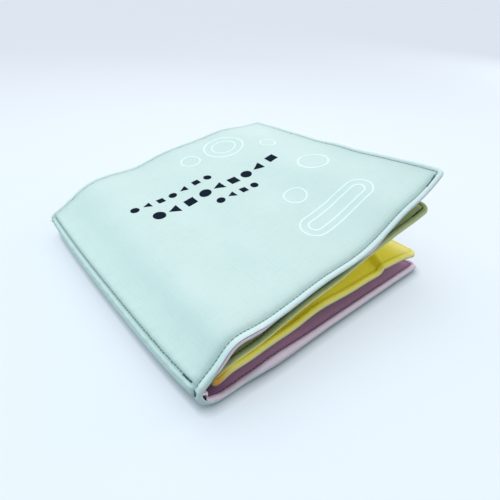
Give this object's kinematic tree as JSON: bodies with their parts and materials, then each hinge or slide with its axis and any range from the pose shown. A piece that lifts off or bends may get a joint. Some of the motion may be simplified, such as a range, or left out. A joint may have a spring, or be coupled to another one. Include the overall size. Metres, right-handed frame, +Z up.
{
  "type": "cloth book",
  "caption": "Soft sewn picture book of cotton: a padded-edge cover with a contrasting lining around one folded page sheet; the front cover swings open about the spine seam.",
  "frame": {"origin": "middle of the back cover's resting face, between spine fold and fore-edge and between tail and head", "axes": "+X from the spine to the fore-edge, +Y from the tail to the head, +Z up, out of the front cover"},
  "size_m": [0.1979, 0.19, 0.0781],
  "materials": {
    "mint_cotton": "plain-weave cotton, matte",
    "lilac_cotton": "plain-weave cotton, matte",
    "green_cotton": "plain-weave cotton, matte",
    "yellow_cotton": "plain-weave cotton, matte",
    "navy_ink": "pigment printed into the cotton",
    "white_ink": "pigment printed into the cotton"
  },
  "bodies": {
    "back_and_pages": {"back_cover_cloth": "mint_cotton", "back_lining": "lilac_cotton", "page_cloth_green": "green_cotton", "page_cloth_yellow": "yellow_cotton"},
    "front_cover": {"front_cover_cloth": "mint_cotton", "front_lining": "lilac_cotton", "navy_print": "navy_ink", "white_line_print": "white_ink"}
  },
  "joints": [
    {"name": "front_cover_hinge", "type": "hinge", "parent": "back_and_pages", "child": "front_cover", "pos_m": [-0.0975, 0, 0.015], "axis": [0, -1, 0], "range_deg": [0, 160]}
  ]
}
